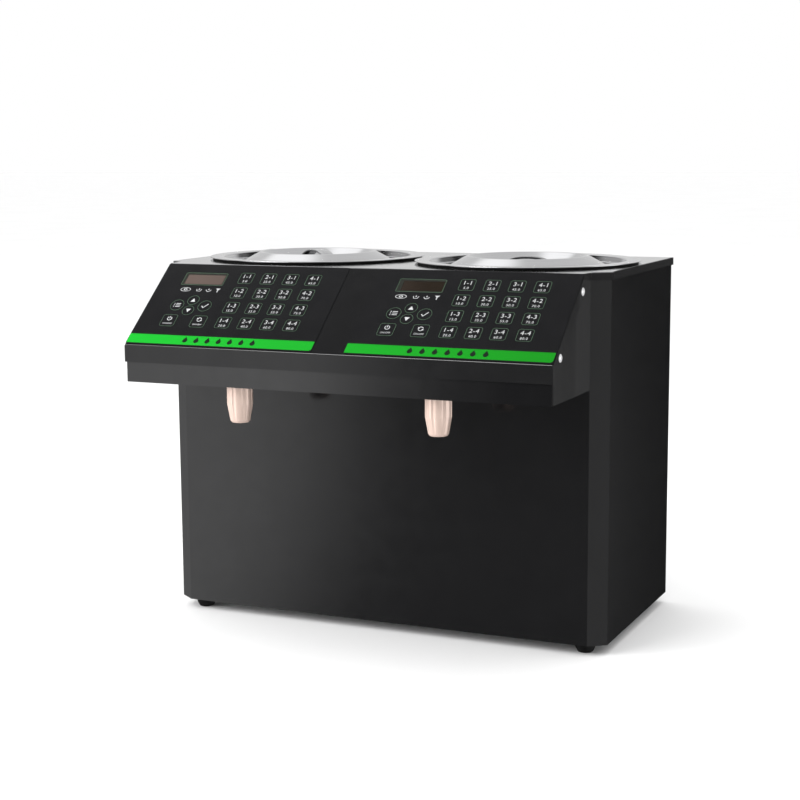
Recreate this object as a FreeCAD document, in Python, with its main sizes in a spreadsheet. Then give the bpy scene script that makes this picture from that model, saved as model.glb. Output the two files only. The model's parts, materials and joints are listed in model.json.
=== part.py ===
import FreeCAD, Part
import os
import Sketcher

# Twin-tank countertop fructose dispenser.  Millimetres, +Z up, origin on the
# floor under the middle of the machine, front towards -Y.
# Every size comes from the sheet "dims"; Q keeps a number together with the
# sheet expression it stands for, so a sketch point is both placed and bound.

os.makedirs("parts", exist_ok=True)
V = FreeCAD.Vector
doc = FreeCAD.newDocument("fructose_dispenser")
sheet = doc.addObject("Spreadsheet::Sheet", "dims")

ROWS = [
    ("cab_half", 250.0, "half width of the cabinet"),
    ("cab_front", 62.5, "cabinet front wall, ahead of the origin"),
    ("cab_rear", 173.5, "rear panel outer face, behind the origin"),
    ("chamf_w", 17.5, "front corner chamfer, across"),
    ("chamf_d", 12.8, "front corner chamfer, front to back"),
    ("base_z", 11.0, "underside of the cabinet"),
    ("deck_z", 390.0, "top of the deck"),
    ("gauge", 1.2, "cabinet sheet thickness"),
    ("deck_t", 0.8, "deck sheet thickness"),
    ("deck_hole", 107.6, "tank opening radius in the deck"),
    ("trim_t", 1.5, "trim flange thickness"),
    ("trim_drop", 7.9, "trim flange height"),
    ("trim_nose", 72.0, "front end of the trim flange beside the head"),
    ("ledge", 10.0, "width of the trim ledge"),
    ("head_front", 176.5, "skirt face, ahead of the origin"),
    ("head_z", 272.9, "underside of the head"),
    ("lip_front", 178.0, "console lip face, ahead of the origin"),
    ("lip_z", 293.8, "lower edge of the console lip"),
    ("lip_top", 311.8, "fold between lip and sloping panel"),
    ("panel_top", 84.5, "top edge of the sloping panel, ahead of the origin"),
    ("cover_t", 1.5, "console cover thickness"),
    ("strip_w", 14.4, "console side strip width"),
    ("fold_r", 1.4, "outer bend radius of the console cover"),
    ("panel_pitch", 251.3, "distance between the two keypads"),
    ("film_t", 0.5, "overlay film thickness"),
    ("win_x", 181.4, "left display centre, left of the middle"),
    ("win_v", 98.5, "display centre up the slope"),
    ("win_w", 50.0, "display opening width"),
    ("win_l", 17.0, "display opening height"),
    ("key_bore", 3.3, "plunger hole radius in the cover"),
    ("key_rad", 2.8, "plunger radius"),
    ("board_w", 9.6, "keypad board back, below the panel face"),
    ("board_t", 1.6, "circuit board thickness"),
    ("tank_x", 125.3, "tank centre, from the middle"),
    ("tank_y", 52.5, "tank centre, behind the origin"),
    ("tank_rad", 99.0, "tank inner radius"),
    ("tank_t", 1.0, "tank wall"),
    ("tank_z", 155.0, "tank underside"),
    ("tank_mouth", 105.9, "tank inner radius at the mouth"),
    ("tank_brim", 112.0, "tank flange radius"),
    ("outlet_y", 120.0, "tank outlet, behind the origin"),
    ("lid_rad", 120.5, "lid radius"),
    ("lid_z", 392.0, "underside of the lid brim"),
    ("lid_t", 0.8, "lid sheet"),
    ("moat_z", 386.0, "top of the ring-shaped channel in the lid"),
    ("crest_rad", 64.5, "radius of the raised crest of the lid"),
    ("crest_z", 397.2, "top of the crest"),
    ("dish_z", 382.4, "top of the dish floor"),
    ("grip_w", 15.0, "lid handle strap width"),
    ("grip_t", 2.0, "lid handle strap thickness"),
    ("grip_top", 399.0, "top of the left lid handle"),
    ("grip_top_b", 396.0, "top of the right lid handle"),
    ("grip_turn_a", -33.0, "left lid handle direction, degrees"),
    ("grip_turn_b", 10.0, "right lid handle direction, degrees"),
    ("noz_x", 113.0, "left nozzle, from the middle"),
    ("noz_xr", 108.0, "right nozzle, from the middle"),
    ("noz_y", 151.5, "nozzle, ahead of the origin"),
    ("noz_rad", 13.3, "nozzle radius"),
    ("noz_z", 234.0, "nozzle lower end"),
    ("spigot", 10.45, "nozzle spigot radius"),
    ("flutes", 8, "number of nozzle flutes"),
    ("foot_x", 224.4, "foot, from the middle"),
    ("foot_yf", 42.5, "front feet, ahead of the origin"),
    ("foot_yr", 150.0, "rear feet, behind the origin"),
    ("pump_y", 30.0, "pump axis, behind the origin"),
    ("pump_z", 62.0, "drive gear axis height"),
    ("gear_cd", 18.0, "gear centre distance"),
    ("pump_x", 119.2, "front face of the pump body, from the middle"),
    ("cav_d", 12.2, "pump chamber depth"),
    ("gear_w", 11.8, "gear width"),
    ("cav_r", 10.75, "pump chamber radius"),
    ("shaft_r", 3.0, "motor shaft radius"),
    ("teeth", 12, "gear teeth"),
    ("motor_r", 22.0, "motor radius"),
    ("motor_len", 64.0, "motor can length"),
    ("hose_r", 5.5, "hose outer radius"),
    ("hose_bore", 4.0, "hose inner radius"),
    ("barb_r", 3.95, "barb radius"),
    ("inlet_x", 150.0, "power inlet, left of the middle seen from the front"),
    ("inlet_z", 60.0, "power inlet height"),
    ("switch_x", 108.0, "rocker switch, left of the middle seen from the front"),
]
for i, (name, value, note) in enumerate(ROWS, 1):
    sheet.set("A%d" % i, name)
    sheet.set("B%d" % i, repr(value))
    sheet.set("C%d" % i, note)
    sheet.setAlias("B%d" % i, name)
doc.recompute()


class Q:
    """A number and the sheet expression it comes from."""

    def __init__(self, v, s):
        self.v = float(v)
        self.s = s

    def __add__(self, o):
        o = q(o)
        return Q(self.v + o.v, "(%s + %s)" % (self.s, o.s))

    def __radd__(self, o):
        return q(o) + self

    def __sub__(self, o):
        o = q(o)
        return Q(self.v - o.v, "(%s - %s)" % (self.s, o.s))

    def __rsub__(self, o):
        return q(o) - self

    def __mul__(self, o):
        o = q(o)
        return Q(self.v * o.v, "(%s * %s)" % (self.s, o.s))

    def __rmul__(self, o):
        return q(o) * self

    def __truediv__(self, o):
        o = q(o)
        return Q(self.v / o.v, "(%s / %s)" % (self.s, o.s))

    def __rtruediv__(self, o):
        return q(o) / self

    def __neg__(self):
        return Q(-self.v, "(0 - %s)" % self.s)


def q(o):
    return o if isinstance(o, Q) else Q(o, "%.6f" % float(o))


def root(o):
    return Q(o.v ** 0.5, "sqrt(%s)" % o.s)


D = {name: Q(value, "dims." + name) for name, value, note in ROWS}
NX = {-1: D["noz_x"], 1: D["noz_xr"]}
g = D["gauge"]
SUBPARTS = []
STEPS = []


def origin(body, role):
    return [o for o in body.Origin.OriginFeatures if o.Role == role][0]


def part(label, x=None, y=None, z=None):
    b = doc.addObject("PartDesign::Body", label)
    b.Label = label
    for axis, val in (("x", x), ("y", y), ("z", z)):
        if val is not None:
            b.setExpression("Placement.Base." + axis, q(val).s)
    SUBPARTS.append(b)
    return b


def sketch(b, plane, loops, off):
    off = q(off)
    sk = b.newObject("Sketcher::SketchObject", b.Name + "_sketch")
    sk.AttachmentSupport = [(origin(b, plane + "_Plane"), "")]
    sk.MapMode = "FlatFace"
    sk.AttachmentOffset = FreeCAD.Placement(V(0, 0, off.v), FreeCAD.Rotation())
    sk.setExpression("AttachmentOffset.Base.z", off.s)
    geo, con, bind = [], [], []

    def fix(kind, k, point, val):
        val = q(val)
        con.append(Sketcher.Constraint(kind, -1, 1, k, point, val.v))
        bind.append((len(con) - 1, val.s))

    for loop in loops:
        k0 = len(geo)
        if loop[0] == "p":
            pts = [(q(x), q(y)) for x, y in loop[1]]
            n = len(pts)
            for i in range(n):
                a, c = pts[i], pts[(i + 1) % n]
                geo.append(Part.LineSegment(V(a[0].v, a[1].v, 0), V(c[0].v, c[1].v, 0)))
            for i in range(n):
                con.append(Sketcher.Constraint("Coincident", k0 + i, 2, k0 + (i + 1) % n, 1))
            for i in range(n):
                fix("DistanceX", k0 + i, 1, pts[i][0])
                fix("DistanceY", k0 + i, 1, pts[i][1])
        else:
            cx, cy, r = q(loop[1]), q(loop[2]), q(loop[3])
            geo.append(Part.Circle(V(cx.v, cy.v, 0), V(0, 0, 1), r.v))
            fix("DistanceX", k0, 3, cx)
            fix("DistanceY", k0, 3, cy)
            con.append(Sketcher.Constraint("Radius", k0, r.v))
            bind.append((len(con) - 1, r.s))
    sk.addGeometry(geo, False)
    sk.addConstraint(con)
    for i, s in bind:
        sk.setExpression("Constraints[%d]" % i, s)
    return sk


def ext(b, plane, loops, lo, hi, cut=False):
    """Pad or pocket the loops from lo to hi along X (YZ), Y (XZ) or Z (XY)."""
    lo, hi = q(lo), q(hi)
    if plane == "XZ":
        off = -lo if cut else -hi
    else:
        off = hi if cut else lo
    sk = sketch(b, plane, loops, off)
    f = b.newObject("PartDesign::Pocket" if cut else "PartDesign::Pad", b.Name + ("_cut" if cut else "_pad"))
    f.Profile = sk
    f.Length = (hi - lo).v
    f.setExpression("Length", (hi - lo).s)
    STEPS.append((b, f, cut))
    return f


def cutx(b, plane, loops, lo, hi):
    return ext(b, plane, loops, lo, hi, True)


def rev(b, pts, cut=False):
    sk = sketch(b, "XZ", [("p", pts)], 0)
    f = b.newObject("PartDesign::Groove" if cut else "PartDesign::Revolution", b.Name + "_turn")
    f.Profile = sk
    f.ReferenceAxis = (sk, ["V_Axis"])
    f.Angle = 360
    STEPS.append((b, f, cut))
    return f


def around(b, f, axis, count):
    pp = b.newObject("PartDesign::PolarPattern", b.Name + "_polar")
    pp.Originals = [f]
    pp.Axis = (origin(b, axis), [""])
    pp.Angle = 360
    pp.Occurrences = int(count.v)
    pp.setExpression("Occurrences", count.s)
    b.Tip = pp
    return pp


def grid(b, f, dx, dy, nx=2, ny=2):
    lp = b.newObject("PartDesign::LinearPattern", b.Name + "_grid")
    lp.Originals = [f]
    lp.Direction = (origin(b, "X_Axis"), [""])
    lp.Length = q(dx).v
    lp.setExpression("Length", q(dx).s)
    lp.Occurrences = nx
    lp.Direction2 = (origin(b, "Y_Axis"), [""])
    lp.Length2 = q(dy).v
    lp.setExpression("Length2", q(dy).s)
    lp.Occurrences2 = ny
    b.Tip = lp
    return lp


def fillet(b, pick, r):
    """Round the edges of the body so far that pick(middle, edge) accepts."""
    doc.recompute()
    base = b.Tip
    names = []
    for i, e in enumerate(base.Shape.Edges, 1):
        m = e.valueAt((e.FirstParameter + e.LastParameter) / 2.0)
        if pick(m, e):
            names.append("Edge%d" % i)
    if not names:
        raise RuntimeError("no edge to round on " + b.Label)
    f = b.newObject("PartDesign::Fillet", b.Name + "_round")
    f.Base = (base, names)
    f.Radius = q(r).v
    f.setExpression("Radius", q(r).s)
    return f


def rect(x0, x1, y0, y1):
    return ("p", [(x0, y0), (x1, y0), (x1, y1), (x0, y1)])


def circ(x, y, r):
    return ("c", x, y, r)


def side(sx, lo, hi):
    """The span lo..hi on the right, or its mirror image on the left."""
    return (q(lo), q(hi)) if sx > 0 else (-q(hi), -q(lo))


# ---------------------------------------------------------------- outlines
H, F, RR = D["cab_half"], D["cab_front"], D["cab_rear"]
cw, cd = D["chamf_w"], D["chamf_d"]
cl = root(cw * cw + cd * cd)


def corner_y(o):
    return cd - F + (cl - cd) / cw * o


def corner_x(o):
    return H - cw - (cl - cw) / cd * o


def outline(o, rear):
    o = q(o)
    return [(H - o, rear), (o - H, rear), (o - H, corner_y(o)), (-corner_x(o), o - F),
            (corner_x(o), o - F), (H - o, corner_y(o))]


ledge_z = D["deck_z"] - D["deck_t"] - g
half_head = H - cw                                  # cheeks line up with the chamfers

# Slope of the console: run and rise of the panel, and its unit vectors.
run, rise = D["lip_front"] - D["panel_top"], D["deck_z"] - D["lip_top"]
slope = root(run * run + rise * rise)
uc, us = run / slope, rise / slope


def sloped(b):
    """Place a body so that its XY plane is the outer face of the panel."""
    b.Placement = FreeCAD.Placement(V(0, 0, 0), FreeCAD.Rotation(V(1, 0, 0), 40))
    b.setExpression("Placement.Base.y", (-D["lip_front"]).s)
    b.setExpression("Placement.Base.z", D["lip_top"].s)
    b.setExpression("Placement.Rotation.Angle", "atan(%s / %s)" % (rise.s, run.s))
    return b


def on_slope(y, z):
    """Panel coordinates (up the slope, outwards) of a point (y, z)."""
    dy, dz = q(y) + D["lip_front"], q(z) - D["lip_top"]
    return (dy * uc + dz * us, dz * uc - dy * us)


# Fastener stations shared by the pieces they join.
rear_holes = [(sx * 242.5, z) for sx in (-1, 1) for z in (40.0, 197.0, 354.0)] + [(-83.0, 19.0), (83.0, 19.0)]
head_holes = [(x, z) for x in (-180.0, 0.0, 180.0) for z in (281.5, 382.4)]
strip_holes = [(-91.0, 373.1), (-157.2, 316.2)]
feet_at = [(sx * D["foot_x"], y) for sx in (-1, 1) for y in (-D["foot_yf"], D["foot_yr"])]
tanks_at = [(sx * D["tank_x"], D["tank_y"]) for sx in (-1, 1)]

# ---------------------------------------------------------------- cabinet
# Cabinet shell: front wall, chamfers, sides and a flanged rear frame.
b = part("cabinet_shell")
ext(b, "XY", [("p", outline(0, RR - g))], D["base_z"], ledge_z)
cutx(b, "XY", [("p", outline(g, RR - 2 * g))], D["base_z"] - 1, ledge_z + 1)
cutx(b, "XZ", [rect(-236, 236, D["base_z"] + 14, ledge_z - 12)], RR - 2 * g - 1, RR)
cutx(b, "XZ", [rect(40, 105, 284, 326), rect(-105, -40, 284, 326), rect(-30, 30, 290, 340)], -F - 1, 2 - F)
cutx(b, "XZ", [circ(x, z, 2.1) for x, z in head_holes], -F - 1, 2 - F)
cutx(b, "XZ", [circ(x, z, 1.62) for x, z in rear_holes], RR - 2 * g - 1, RR)

# Rear panel with louvre slots, inlet and switch cut-outs.
b = part("rear_panel")
ext(b, "XZ", [rect(0.5 - H, H - 0.5, D["base_z"] + 0.3, D["deck_z"] - D["trim_drop"] - 0.5)], RR - g, RR)
cutx(b, "XZ", [rect(-D["inlet_x"] - 13.8, 13.8 - D["inlet_x"], D["inlet_z"] - 10.2, D["inlet_z"] + 10.2),
               rect(-D["switch_x"] - 7.7, 7.7 - D["switch_x"], D["inlet_z"] - 11.2, D["inlet_z"] + 11.2)],
     RR - g - 1, RR + 1)
cutx(b, "XZ", [circ(x, z, 1.9) for x, z in rear_holes], RR - g - 1, RR + 1)
cutx(b, "XZ", [rect(x - 34, x + 34, 96 + 10 * i, 100 + 10 * i) for x in (-120, 120) for i in range(7)],
     RR - g - 1, RR + 1)

# Base plate: a tray inside the shell, slotted for air.
b = part("base_plate")
ext(b, "XY", [("p", outline(g + 0.3, RR - 2 * g - 0.3))], D["base_z"], D["base_z"] + 12)
cutx(b, "XY", [("p", outline(2 * g + 0.3, RR - 3 * g - 0.3))], D["base_z"] + g, D["base_z"] + 13)
cutx(b, "XZ", [circ(x, z, 1.62) for x, z in rear_holes if z < 20], RR - 4 * g, RR)
cutx(b, "XY", [circ(x, y, 2.1) for x, y in feet_at] +
     [rect(x - 30, x + 30, -30 + 12 * i, -26 + 12 * i) for x in (-60, 60) for i in range(4)],
     D["base_z"] - 1, D["base_z"] + g + 1)

# Feet and the screws that hold them.
b = part("feet", -D["foot_x"], -D["foot_yf"], 0)
f = rev(b, [(2.2, 5.5), (4.6, 5.5), (4.6, 0), (7.4, 0), (8.2, 0.6), (9.9, 4.0), (10.9, D["base_z"] - 3.6),
            (11.8, D["base_z"] - 1.0), (12.2, D["base_z"] - 0.4), (12.2, D["base_z"]), (2.2, D["base_z"])])
grid(b, f, 2 * D["foot_x"], D["foot_yf"] + D["foot_yr"])
b = part("foot_screws", -D["foot_x"], -D["foot_yf"], 0)
f = rev(b, [(0, 3.4), (3.2, 3.4), (4.1, 4.2), (4.1, 5.5), (2.0, 5.5), (2.0, D["base_z"] + 8), (0, D["base_z"] + 8)])
grid(b, f, 2 * D["foot_x"], D["foot_yf"] + D["foot_yr"])

# Shelf under the tanks.
b = part("tank_shelf")
ext(b, "XY", [("p", outline(g + 0.3, RR - 2 * g - 0.3))], D["tank_z"] - 14, D["tank_z"])
cutx(b, "XY", [("p", outline(g + 1.8, RR - 2 * g - 1.8))], D["tank_z"] - 15, D["tank_z"] - 1.5)
cutx(b, "XY", [circ(sx * D["tank_x"], D["outlet_y"], 14) for sx in (-1, 1)] +
     [rect(58, 90, -57, -28), rect(-90, -58, -57, -28), rect(-30, 30, -59, -40)],
     D["tank_z"] - 2, D["tank_z"] + 1)

# Top trim: a flange down over the shell, a ledge, and a seat for the deck.
tt = D["trim_t"]
b = part("top_trim")
tip_y = cd - F + (cl - cd) / cw * (-tt)
cut_x = half_head + tt
cut_y = -F - (cut_x - corner_x(-tt)) * (-1) * cd / cw - tt
nose = -D["trim_nose"]
ext(b, "XY", [("p", [(H + tt, RR + tt), (-H - tt, RR + tt), (-H - tt, tip_y), (-cut_x, cut_y), (-cut_x, nose),
                     (cut_x, nose), (cut_x, cut_y), (H + tt, tip_y)])],
    D["deck_z"] - D["trim_drop"], D["deck_z"])
cutx(b, "XY", [("p", [(H, RR), (-H, RR), (-H, cd - F), (-half_head, -F), (-half_head, nose - 2),
                      (half_head, nose - 2), (half_head, -F), (H, cd - F)])],
     D["deck_z"] - D["trim_drop"] - 1, ledge_z)
cutx(b, "XY", [("p", outline(D["ledge"], RR - D["ledge"]))], ledge_z - 1, D["deck_z"] + 1)
cutx(b, "XY", [rect(-half_head, half_head, nose - 2, -F)], ledge_z - 1, D["deck_z"] + 1)
cutx(b, "XY", [("p", outline(0, RR))], ledge_z + g, D["deck_z"] + 1)
cutx(b, "XY", [circ(x, y, 108.6) for x, y in tanks_at], ledge_z - 1, ledge_z + g)
# At the front corners the deck laps over the flange.
for sx in (-1, 1):
    cutx(b, "XY", [("p", [(sx * (H - 2), tip_y + 20), (sx * H, tip_y + 20), (sx * (H + tt + 0.3), tip_y),
                          (sx * (H + tt + 0.3), nose - 1), (sx * (half_head - 1), nose - 1),
                          (sx * (half_head - 1), tip_y + 20)])], ledge_z + g, D["deck_z"] + 1)

# Deck: one stainless plate, carried on the ledge and over the head.
b = part("deck_plate")
dx = half_head - 0.3
half_deck = [(H - 0.3, RR - 0.3), (H - 0.3, tip_y + 20), (H + tt, tip_y), (cut_x, cut_y), (cut_x, nose), (dx, nose),
             (dx, -D["panel_top"] - 0.9)]
ext(b, "XY", [("p", half_deck + [(-x, y) for x, y in half_deck[::-1]])],
    D["deck_z"] - D["deck_t"], D["deck_z"])
cutx(b, "XY", [circ(x, y, D["deck_hole"]) for x, y in tanks_at], D["deck_z"] - 2, D["deck_z"] + 1)

# ---------------------------------------------------------------- head
# Head shell: floor, skirt, cheeks and rear flange under the console.
low = D["deck_z"] - D["deck_t"]
cheek_y = -D["lip_front"] + (low - D["lip_top"] + 2.0 * uc) * uc / us + 2.0 * us
skirt_z = D["lip_top"] - 2.0 * uc + (D["lip_front"] - D["head_front"] - 2.0 * us) * us / uc
b = part("head_shell")
ext(b, "YZ", [("p", [(-D["head_front"], D["head_z"]), (-D["head_front"], skirt_z - 1.5),
                     (1.2 - D["head_front"], skirt_z - 0.5), (cheek_y, low), (-F, low), (-F, D["head_z"])])],
    -half_head, half_head)
cutx(b, "YZ", [rect(g - D["head_front"], -F - g, D["head_z"] + g, D["deck_z"] + 5)], g - half_head, half_head - g)
cutx(b, "XZ", [rect(-216, 216, D["head_z"] + 16, low - 13)], -F - 4, 1 - F)
cutx(b, "XY", [circ(sx * NX[sx], -D["noz_y"], D["spigot"] + 0.3) for sx in (-1, 1)],
     D["head_z"] - 1, D["head_z"] + g + 1)
cutx(b, "XZ", [circ(x, z, 1.62) for x, z in head_holes], -F - 4, 1 - F)
cutx(b, "YZ", [circ(y, z, 1.62) for y, z in strip_holes], -half_head - 1, half_head + 1)

# Console cover: lip, sloping panel and side strips folded from one sheet.
ct = D["cover_t"]
co = half_head + ct
strip = D["strip_w"]
b = sloped(part("console_cover"))
back = -F - 9.8
k_lo = on_slope(1.0 - D["lip_front"], D["lip_z"])
k_hi = on_slope(back, D["deck_z"])
k_end = ((back + D["lip_front"] - strip * us) / uc, -strip)
ext(b, "YZ", [("p", [on_slope(-D["lip_front"], D["lip_z"]), (0, 0), (slope, 0), k_hi, k_end, k_lo])], -co, co)
fillet(b, lambda m, e: (abs(abs(m.x) - co.v) < 0.01 and abs(m.z) < 0.01 and e.Length > 80)
       or (abs(m.x) < 1 and abs(m.y) < 0.01 and abs(m.z) < 0.01), D["fold_r"])
inner_top = (low - D["lip_top"] - 0.05 + ct * uc) / us
cutx(b, "YZ", [("p", [on_slope(ct - D["lip_front"], D["lip_z"] - 3),
                      on_slope(ct - D["lip_front"], D["lip_top"] - ct * uc + (ct - ct * us) * us / uc),
                      (inner_top, -ct), on_slope(-D["panel_top"] - 8, low - 0.05),
                      on_slope(-D["panel_top"] - 8, low + 8), on_slope(-40, low + 8), on_slope(-40, D["lip_z"] - 3)])],
     -half_head, half_head)

KEYS = [(x, v) for x in (-132.5, -106.2, -80.1, -53.8) for v in (101.4, 79.7, 58.1, 36.5)] + \
       [(-181.4, 66.9), (-181.4, 51.9), (-197.7, 59.1), (-164.5, 59.1), (-197.9, 36.6), (-162.1, 36.6)]
PANELS = [("left", 0), ("right", D["panel_pitch"])]
cutx(b, "XY", [circ(x + sh, v, D["key_bore"]) for n, sh in PANELS for x, v in KEYS] +
     [rect(sh - D["win_x"] - D["win_w"] / 2, sh - D["win_x"] + D["win_w"] / 2,
           D["win_v"] - D["win_l"] / 2, D["win_v"] + D["win_l"] / 2) for n, sh in PANELS], -ct - 1, 1)
# Screw holes through the side strips, square to X.
cutx(b, "YZ", [("c",) + on_slope(y, z) + (2.2,) for y, z in strip_holes], -co - 1, co + 1)

# Keypads: film, display window, plungers, board and stand-offs.
for name, sh in PANELS:
    b = sloped(part("overlay_" + name))
    ext(b, "XY", [rect(sh - 233.6, sh - 17.9, 1.8, slope - 1.2)], 0, D["film_t"])
    fillet(b, lambda m, e: abs(m.z - D["film_t"].v / 2) < 0.01 and e.Length < 1, 1.5)
    cutx(b, "XY", [rect(sh - D["win_x"] - D["win_w"] / 2, sh - D["win_x"] + D["win_w"] / 2,
                        D["win_v"] - D["win_l"] / 2, D["win_v"] + D["win_l"] / 2)], -1, D["film_t"] + 1)
b = sloped(part("display_windows"))
ext(b, "XY", [rect(sh - D["win_x"] - D["win_w"] / 2 + 0.2, sh - D["win_x"] + D["win_w"] / 2 - 0.2,
                   D["win_v"] - D["win_l"] / 2 + 0.2, D["win_v"] + D["win_l"] / 2 - 0.2) for n, sh in PANELS],
    -ct, D["film_t"] - 0.1)
for name, sh in PANELS:
    b = sloped(part("key_plungers_" + name))
    ext(b, "XY", [circ(x + sh, v, D["key_rad"]) for x, v in KEYS], -4.0, -0.06)
    ext(b, "XY", [circ(x + sh, v, D["key_rad"] + 1) for x, v in KEYS], -3.6, -2.4)
for name, sh in PANELS:
    b = sloped(part("keypad_board_" + name))
    bw, bt = -D["board_w"], D["board_t"]
    ext(b, "XY", [rect(sh - 212, sh - 40, 24, 113.5)], bw, bw + bt)
    ext(b, "XY", [rect(x + sh - 3, x + sh + 3, v - 3, v + 3) for x, v in KEYS], bw + bt, -4.3)
    ext(b, "XY", [rect(sh - D["win_x"] - 23, sh - D["win_x"] + 23, D["win_v"] - 7, D["win_v"] + 7)], bw + bt, -1.8)
    ext(b, "XY", [rect(sh - 146, sh - 112, 62, 72)], bw - 6, bw)
b = sloped(part("board_standoffs"))
ext(b, "XY", [circ(x + sh, v, 2.5) for n, sh in PANELS for x, v in
              ((-208.5, 27.5), (-43.5, 27.5), (-209, 110), (-43.5, 110))], bw + bt, -ct)

# Screws of the console, head and rear panel.
b = part("console_screws")
for sx in (-1, 1):
    lo, hi = side(sx, co, co + 1.2)
    ext(b, "YZ", [circ(y, z, 4.5) for y, z in strip_holes], lo, hi)
    lo, hi = side(sx, co + 1.2, co + 2.0)
    ext(b, "YZ", [circ(y, z, 3.6) for y, z in strip_holes], lo, hi)
    lo, hi = side(sx, half_head - 8, co)
    ext(b, "YZ", [circ(y, z, 1.6) for y, z in strip_holes], lo, hi)
    lo, hi = side(sx, co + 1.0, co + 3.0)
    cutx(b, "YZ", [rect(y - 2.4, y + 2.4, z - 0.5, z + 0.5) for y, z in strip_holes], lo, hi)
b = part("head_screws")
ext(b, "XZ", [circ(x, z, 3.5) for x, z in head_holes], g - F, g - F + 2.2)
ext(b, "XZ", [circ(x, z, 1.6) for x, z in head_holes], -F - 6, g - F)
b = part("rear_screws")
ext(b, "XZ", [circ(x, z, 3.5) for x, z in rear_holes], RR, RR + 1.9)
ext(b, "XZ", [circ(x, z, 1.6) for x, z in rear_holes], RR - 7, RR)

# ---------------------------------------------------------------- tanks and lids
tr, tw, tz = D["tank_rad"], D["tank_t"], D["tank_z"]
brim_z = D["deck_z"] + 0.4
for sx, name in ((-1, "left"), (1, "right")):
    b = part("tank_" + name, sx * D["tank_x"], D["tank_y"], 0)
    tm = D["tank_mouth"]
    rev(b, [(0, tz), (tr + tw, tz), (tr + tw, 366.4), (tm + tw, 380.4), (tm + tw, brim_z), (D["tank_brim"], brim_z),
            (D["tank_brim"], brim_z + 0.8), (tm, brim_z + 0.8), (tm, 380), (tr, 366), (tr, tz + tw), (0, tz + tw)])
    fillet(b, lambda m, e: abs(m.z - tz.v) < 0.01 and e.Length > 500, 12)
    fillet(b, lambda m, e: abs(m.z - tz.v - tw.v) < 0.01 and e.Length > 500, 11)
    ext(b, "XY", [circ(0, D["outlet_y"] - D["tank_y"], D["barb_r"])], tz - 22, tz + 0.5)
    cutx(b, "XY", [circ(0, D["outlet_y"] - D["tank_y"], 2.8)], tz - 23, tz + 3)
b = part("tank_gaskets")
ext(b, "XY", [circ(x, y, r) for x, y in tanks_at for r in (108.2, 111.4)], D["deck_z"], brim_z)

lr, lz, lt, dz0 = D["lid_rad"], D["lid_z"], D["lid_t"], D["dish_z"]
mz, cr, cz = D["moat_z"], D["crest_rad"], D["crest_z"]
# Lid: flat ring, channel inside the tank mouth, cone up to a crest, dish.
for sx, name in ((-1, "left"), (1, "right")):
    b = part("lid_" + name, sx * D["tank_x"], D["tank_y"], 0)
    rev(b, [(lr, lz), (lr, lz + 0.5), (lr - 0.3, lz + lt), (107.2, lz + lt), (105.6, lz + 0.45), (104.7, lz - 0.5),
            (103.6, mz + 1.0), (102.8, mz + 0.2), (101.8, mz), (cr + 22.1, mz), (cr + 20.8, mz + 0.35),
            (cr + 1.7, cz - 0.6), (cr, cz), (cr - 1.9, cz - 0.3), (43.0, dz0 + 1.2), (41.4, dz0 + 0.35), (39.6, dz0),
            (0, dz0), (0, dz0 - lt), (39.9, dz0 - lt), (41.9, dz0 - 0.35), (43.45, dz0 + 0.54), (cr - 1.45, cz - 0.96),
            (cr, cz - 0.82), (cr + 1.3, cz - 1.3), (cr + 20.4, mz - 0.35), (cr + 21.7, mz - lt), (102.0, mz - lt),
            (103.4, mz - 0.5), (104.4, mz + 0.8), (105.4, lz - 0.8), (106.0, lz - 0.25), (107.4, lz)])

# Lid handle: an arched strap standing on the dish floor.
N = 14
GX, GT = 33.0, D["grip_t"]
for sx, name in ((-1, "left"), (1, "right")):
    b = part("lid_handle_" + name, sx * D["tank_x"], D["tank_y"], 0)
    b.Placement = FreeCAD.Placement(V(0, 0, 0), FreeCAD.Rotation(V(0, 0, 1), 80))
    b.setExpression("Placement.Rotation.Angle", D["grip_turn_a" if sx < 0 else "grip_turn_b"].s)
    GZ = D["grip_top" if sx < 0 else "grip_top_b"]
    top, bot = [], []
    for i in range(N + 1):
        k = -1.0 + 2.0 * i / N
        shape = 1.0 - abs(k) ** 2.6
        top.append((GX * k, dz0 + GT + (GZ - dz0 - GT) * shape))
        bot.append(((GX - 2.3) * k, dz0 + (GZ - GT - dz0) * shape))
    top = [(-GX - 5.5, dz0 + GT)] + top + [(GX + 5.5, dz0 + GT)]
    bot = [(-GX - 5.5, dz0), (-GX + 2.3, dz0)] + bot[1:-1] + [(GX - 2.3, dz0), (GX + 5.5, dz0)]
    ext(b, "XZ", [("p", top + bot[::-1])], -D["grip_w"] / 2, D["grip_w"] / 2)

# Lid seal: an elastomer ring under the brim.
for sx, name in ((-1, "left"), (1, "right")):
    b = part("lid_seal_" + name, sx * D["tank_x"], D["tank_y"], 0)
    rev(b, [(112.8, lz), (117.5, lz), (117.5, brim_z - 0.35), (112.8, brim_z - 0.35)])

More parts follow.
